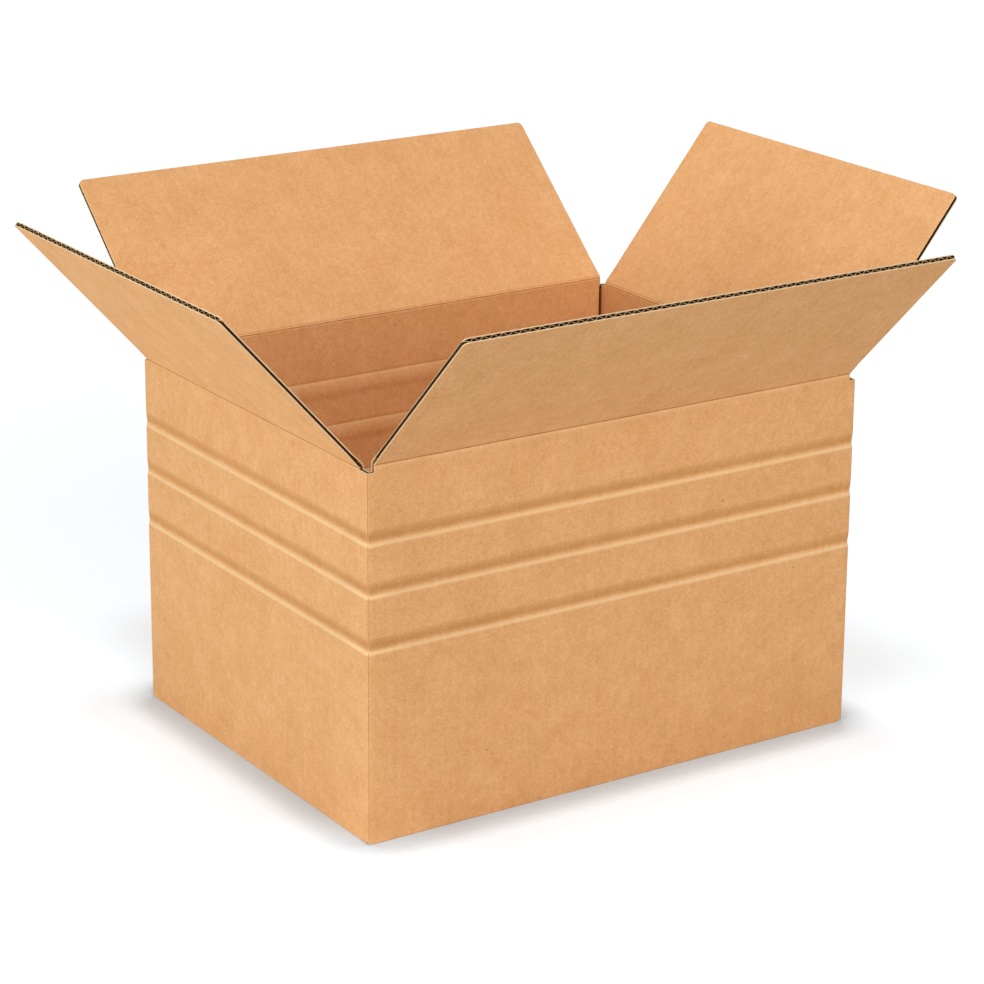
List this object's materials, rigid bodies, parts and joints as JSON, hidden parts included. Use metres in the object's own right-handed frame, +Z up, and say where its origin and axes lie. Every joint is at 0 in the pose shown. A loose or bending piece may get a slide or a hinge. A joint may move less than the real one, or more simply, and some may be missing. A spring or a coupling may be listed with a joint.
{
  "type": "corrugated cardboard box",
  "caption": "Open corrugated carton for shipping, with a taped bottom, hinged top flaps leaning outward and score lines round its walls for cutting it down to a lower height.",
  "frame": {"origin": "on the floor, at the middle of the box's four walls", "axes": "+X along the long walls, +Y towards the wall that carries the glued joint, +Z up"},
  "size_m": [0.6099, 0.5393, 0.3882],
  "materials": {
    "kraft_board": "matt brown kraft liner",
    "packing_tape": "smooth tan film"
  },
  "bodies": {
    "carton": {"box_body": "kraft_board", "bottom_tape": "packing_tape"},
    "front_flap": {"front_flap": "kraft_board"},
    "left_flap": {"left_flap": "kraft_board"},
    "back_flap": {"back_flap": "kraft_board"},
    "right_flap": {"right_flap": "kraft_board"}
  },
  "joints": [
    {"name": "front_fold", "type": "hinge", "parent": "carton", "child": "front_flap", "pos_m": [0, -0.158, 0.2701], "axis": [-1, 0, 0], "range_deg": [-130, 135]},
    {"name": "left_fold", "type": "hinge", "parent": "carton", "child": "left_flap", "pos_m": [-0.205, 0, 0.266], "axis": [0, 1, 0], "range_deg": [-133, 132]},
    {"name": "back_fold", "type": "hinge", "parent": "carton", "child": "back_flap", "pos_m": [0, 0.158, 0.2701], "axis": [1, 0, 0], "range_deg": [-112, 138]},
    {"name": "right_fold", "type": "hinge", "parent": "carton", "child": "right_flap", "pos_m": [0.205, 0, 0.266], "axis": [0, -1, 0], "range_deg": [-136, 129]}
  ]
}
